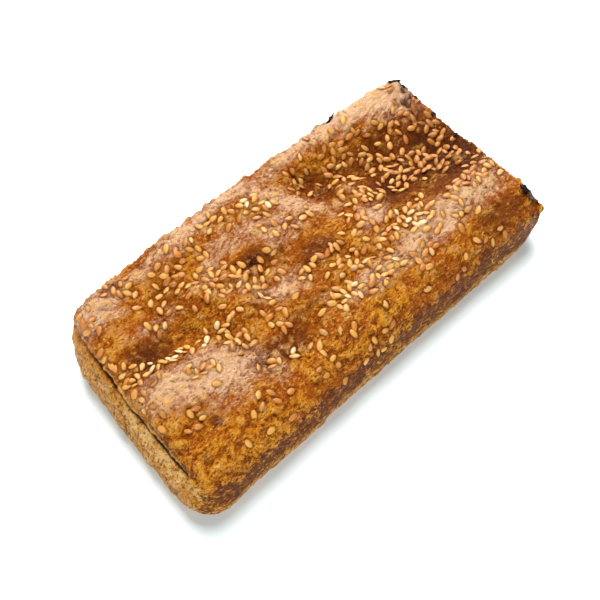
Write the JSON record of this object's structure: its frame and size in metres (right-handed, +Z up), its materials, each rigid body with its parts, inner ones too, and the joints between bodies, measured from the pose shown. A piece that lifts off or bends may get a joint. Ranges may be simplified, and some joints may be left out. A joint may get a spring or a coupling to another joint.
{
  "type": "flaxseed bread",
  "caption": "Flat oblong flaxseed bread with a lumpy browned crust strewn with golden flaxseeds, a cracked seam along the near end and scorched corners at the far end.",
  "frame": {"origin": "middle of the flat base", "axes": "+X along the loaf from the end with the seam to the end with the scorched corners, +Z up"},
  "size_m": [0.2174, 0.1143, 0.0352],
  "materials": {
    "crust": "dry browned wholemeal crust with a faint sheen"
  },
  "bodies": {
    "root": {"flaxseed_loaf": "crust"}
  },
  "joints": []
}
